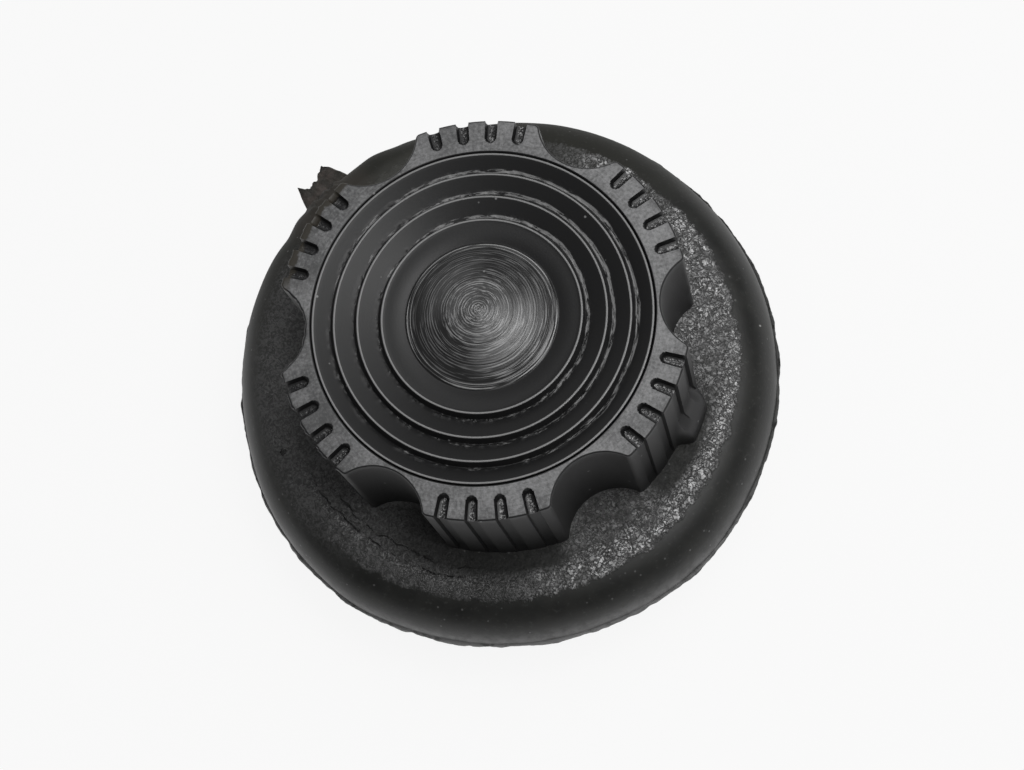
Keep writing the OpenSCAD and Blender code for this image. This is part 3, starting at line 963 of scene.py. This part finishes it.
# Pale bloom with smears low on the wall, painted on the lower left side as a reflection of the floor
wall_bloom_reflection = times(tree, ramp(tree, z, 17.0 * mm, 13.4 * mm), side(tree, ring_xyz, wall_reflection_azimuth, 0.0, 0.7))
smears = ring_noise(tree, ring_xyz, 2.2, 26, 3.0, 0.6)
wall_bloom_reflection = times(tree, wall_bloom_reflection, scaled(tree, ramp(tree, smears, 0.35, 0.65), 0.6, 0.4))
tone_and_reflections = tint(tree, wall_bloom_reflection, tone_and_reflections, (0.15, 0.15, 0.15))
# Painted olive reflection tint on the far side of the rubber
far_reflection_tint = times(tree, far_side, 0.6)
tone_and_reflections = tint(tree, far_reflection_tint, tone_and_reflections, (0.021, 0.021, 0.0145))
glint_side = side(tree, ring_xyz, lit_azimuth, 0.1, 0.5)
off_grip = times(tree, sharp_skin, scaled(tree, grip_foot_shade, -0.97, 1.0))
glint_side = times(tree, glint_side, off_grip)
on_grain = times(tree, on_skin, paleness_and_light)
brightest_glint_side = side(tree, ring_xyz, brightest_glint_azimuth, 0.78, 0.95)
thinned = times(tree, glint_side, scaled(tree, brightest_glint_side, 0.4, -0.6))
on_grain = times(tree, on_grain, sums(tree, "ADD", thinned, 1.0))
colour = tint(tree, on_grain, tone_and_reflections, (0.042, 0.042, 0.0415))
colour = tint(tree, times(tree, on_grain, ramp(tree, skin, 0.44, 0.58)), colour, (0.12, 0.12, 0.12))

# Crumpled skin on the right with painted glints: bright facets of uneven tone between dark cracks
drift = add_node(tree, "ShaderNodeTexNoise", {"Vector": xyz, "Scale": 1500.0, "Detail": 3.0})
drift = add_node(tree, "ShaderNodeVectorMath", {0: drift.outputs["Color"], 1: (0.5, 0.5, 0.5)},
                 operation="SUBTRACT")
drift = add_node(tree, "ShaderNodeVectorMath",
                 {0: drift.outputs[0], 1: (facet_drift, facet_drift, facet_drift), 2: xyz},
                 operation="MULTIPLY_ADD").outputs[0]
facets = add_node(tree, "ShaderNodeTexVoronoi", {"Vector": drift, "Scale": facets_per_m})
facet_pick = add_node(tree, "ShaderNodeSeparateColor", {0: facets.outputs["Color"]})
facet_gap = add_node(tree, "ShaderNodeTexVoronoi", {"Vector": drift, "Scale": facets_per_m},
                     feature="DISTANCE_TO_EDGE")
wide_gap = add_node(tree, "ShaderNodeTexVoronoi", {"Vector": drift, "Scale": folds_per_m},
                    feature="DISTANCE_TO_EDGE")
foil_glints = scaled(tree, ramp(tree, facet_pick.outputs[0], 0.05, 0.8), 0.65, 0.35)
foil_glints = times(tree, foil_glints, ramp(tree, facet_gap.outputs["Distance"], 0.01, 0.13))
foil_glints = times(tree, foil_glints, ramp(tree, wide_gap.outputs["Distance"], 0.01, 0.08))
foil_glints = times(tree, foil_glints, scaled(tree, ramp(tree, skin, 0.42, 0.48), 0.8, 0.2))
outward = scaled(tree, ramp(tree, r, 26.5 * mm, 30.5 * mm), 0.65, 0.35)
foil_glints = times(tree, foil_glints, either(tree, outward, times(tree, brightest_glint_side, 0.85)))
clusters = noise_at(tree, xyz, 430, 2.0, 0.5)
foil_glints = times(tree, foil_glints, scaled(tree, ramp(tree, clusters, 0.38, 0.52), 0.6, 0.4))
# Painted glints on the crumpled skin of the lit side
colour = tint(tree, times(tree, foil_glints, glint_side), colour, (0.85, 0.85, 0.855))

# Creases at the lower left painted dark as shade, with a painted highlight on the ridge beyond, a small pit
# painted dark as shade and a pale speck
crease_noise = noise_at(tree, xyz, 300, 3.0, 0.6)
crease_r = scaled(tree, crease_noise, 2.4 * mm, sums(tree, "SUBTRACT", r, 1.2 * mm))
crease_shade = either(tree, band(tree, crease_r, 30.55 * mm, 30.7 * mm, 0.08 * mm),
                 band(tree, crease_r, 29.2 * mm, 29.3 * mm, 0.08 * mm))
crease_shade = times(tree, times(tree, crease_shade, creased_side), on_skin)
crease_shade = times(tree, crease_shade, ramp(tree, torn_edge, 0.42, 0.54))
ridge_highlight = times(tree, band(tree, crease_r, 30.9 * mm, 31.9 * mm, 0.3 * mm), creased_side)
ridge_highlight = times(tree, times(tree, ridge_highlight, on_skin), ramp(tree, skin, 0.5, 0.62))
# Painted highlight on the ridge beyond the creases
colour = tint(tree, times(tree, ridge_highlight, 0.8), colour, (0.30, 0.30, 0.30))
spots = []
for spot_x, spot_y, spot_r in ((-0.0310, -0.0111, 0.0004), (0.0351, 0.0031, 0.00009)):
    off = add_node(tree, "ShaderNodeVectorMath", {0: xyz, 1: (1, 1, 0)}, operation="MULTIPLY")
    off = add_node(tree, "ShaderNodeVectorMath", {0: off.outputs[0], 1: (spot_x, spot_y, 0)},
                   operation="DISTANCE")
    spots.append(ramp(tree, off.outputs["Value"], spot_r + 0.12 * mm, spot_r - 0.12 * mm))
pit_shade, pale_speck = spots
# The creases and the pit are painted dark as shade
marks = either(tree, times(tree, crease_shade, 0.7), pit_shade)
colour = tint(tree, marks, colour, (0.004, 0.004, 0.004))

# A painted soft highlight on the skin by the tab, the tab's brown foot, a painted highlight on the torn lip
# below the wall, dust
# Painted soft highlight on the smooth skin by the tab
highlight_patch = times(tree, side(tree, ring_xyz, highlight_patch_azimuth, 0.93, 0.985),
              ramp(tree, faded_z, flat_z - 1.0 * mm, flat_z + 0.2 * mm))
colour = tint(tree, times(tree, highlight_patch, 0.85), colour, (0.07, 0.07, 0.062))
tab_foot = times(tree, side(tree, ring_xyz, tab_azimuth, 0.972, 0.995), 0.8)
colour = tint(tree, tab_foot, colour, tint(tree, cloudy, (0.030, 0.027, 0.021), (0.062, 0.052, 0.044)))
# Painted highlight on the torn lip at the foot of the wall on the lower left
lip_highlight = times(tree, ramp(tree, z, wall_z + 0.3 * mm, wall_z), side(tree, ring_xyz, lip_highlight_azimuth, 0.3, 0.8))
colour = tint(tree, times(tree, lip_highlight, ramp(tree, torn_edge, 0.36, 0.5)), colour, (0.24, 0.24, 0.24))
dusty = times(tree, ramp(tree, noise_at(tree, xyz, 1500, 4.0, 0.7), 0.56, 0.72), 0.4)
dusty = times(tree, dusty, sums(tree, "SUBTRACT", 1.0, on_skin))
colour = tint(tree, dusty, colour, (0.07, 0.07, 0.068))
colour = tint(tree, times(tree, specks, 0.5), colour, (0.2, 0.2, 0.2))
colour = tint(tree, pale_speck, colour, (0.6, 0.6, 0.58))

gloss = scaled(tree, sharp_skin, -0.2, 0.42)
gloss = scaled(tree, far_side, 0.3, gloss)
gloss = scaled(tree, grip_foot_shade, 0.35, gloss)
gloss = scaled(tree, cloudy, 0.12, gloss)
relief = times(tree, skin, scaled(tree, on_skin, 0.9, 0.1))
relief = scaled(tree, foil_glints, times(tree, glint_side, 0.8), relief)
relief = scaled(tree, marks, -1.2, relief)
shade(tree, surface, colour, gloss, relief, 0.00024, 1.52)
cover.data.materials.append(rubber)
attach(cover, "root")
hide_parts("rubber_cover")

# Torn tab. What is left of a pull tab moulded with the rubber, torn off at the upper left: a
# thick root with a ragged edge and two points, its torn face brownish and rough.
tab_root_r = 0.0362
tab_low_z = 0.0128
tab_thick = 0.0022
tab_edge = [(-tab_half, 38.6), (-3.6, 39.6), (-3.2, 40.6), (-2.8, 41.7), (-2.2, 42.7), (-1.5, 42.2),
            (-0.8, 41.9), (-0.1, 41.2), (0.7, 41.2), (1.4, 40.8), (2.0, 41.3), (2.6, 42.3), (3.0, 41.3),
            (3.5, 40.1), (tab_half, 38.8)]
tab_across = 60
tab_out = 26
tab_points = []
tab_faces = []
edge_sides = [s for s, reach in tab_edge]
edge_reach = [reach for s, reach in tab_edge]


def tab_point(i, j, upper):
    aside = (-tab_half + 2 * tab_half * i / tab_across) * mm
    reach = float(np.interp(aside / mm, edge_sides, edge_reach)) * mm
    reach += 0.22 * mm * noise.fractal(Vector((aside, 0.2, 0.6)) * 1500, 0.6, 2.1, 3)
    share = j / tab_out
    out = tab_root_r + (reach - tab_root_r) * share
    thick = tab_thick * (1 - 0.82 * share ** 1.6)
    middle = tab_low_z + 0.5 * tab_thick + 0.5 * mm * share * sin(900 * aside)
    if i in (0, tab_across):
        thick *= 0.25
    rough = noise.fractal(Vector((aside, out, 0.3 if upper else 0.8)) * 1300, 0.7, 2.1, 3)
    z = middle + (0.5 if upper else -0.5) * thick
    if 0 < j < tab_out and 0 < i < tab_across:
        z += (0.22 if upper else 0.12) * mm * rough
    x = out * cos(tab_heading) - aside * sin(tab_heading)
    y = out * sin(tab_heading) + aside * cos(tab_heading)
    return (x, y, z)


loops = []
for i in range(tab_across + 1):
    loop = [tab_point(i, j, True) for j in range(tab_out + 1)]
    loop += [tab_point(i, j, False) for j in range(tab_out, -1, -1)]
    loops.append(add_ring(tab_points, loop))
for a, b in zip(loops, loops[1:]):
    join_rings(tab_faces, a, b)
tab_faces.append(tuple(loops[0]))
tab_faces.append(tuple(loops[-1][::-1]))
tab = make_piece("torn_tab", tab_points, tab_faces, radians(50))

torn_rubber, tree, surface, place = new_material("torn_rubber")
xyz = place.outputs["Place"]
fibres = noise_at(tree, xyz, 1700, 5.0, 0.65)
patches = noise_at(tree, xyz, 420, 3.0, 0.5)
far_out = ramp(tree, noise_at(tree, xyz, 900, 2.0, 0.5), 0.35, 0.6)
colour = tint(tree, ramp(tree, patches, 0.4, 0.65), (0.034, 0.031, 0.026), (0.078, 0.064, 0.056))
colour = tint(tree, ramp(tree, fibres, 0.58, 0.75), colour, (0.11, 0.095, 0.085))
tip = ramp(tree, place.outputs["Radius"], 40.2 * mm, 42.2 * mm)
colour = tint(tree, times(tree, tip, far_out), colour, (0.014, 0.013, 0.011))
gloss = scaled(tree, fibres, 0.3, 0.42)
shade(tree, surface, colour, gloss, fibres, 0.0002, 1.5)
tab.data.materials.append(torn_rubber)
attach(tab, "root")
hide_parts("rubber_cover")
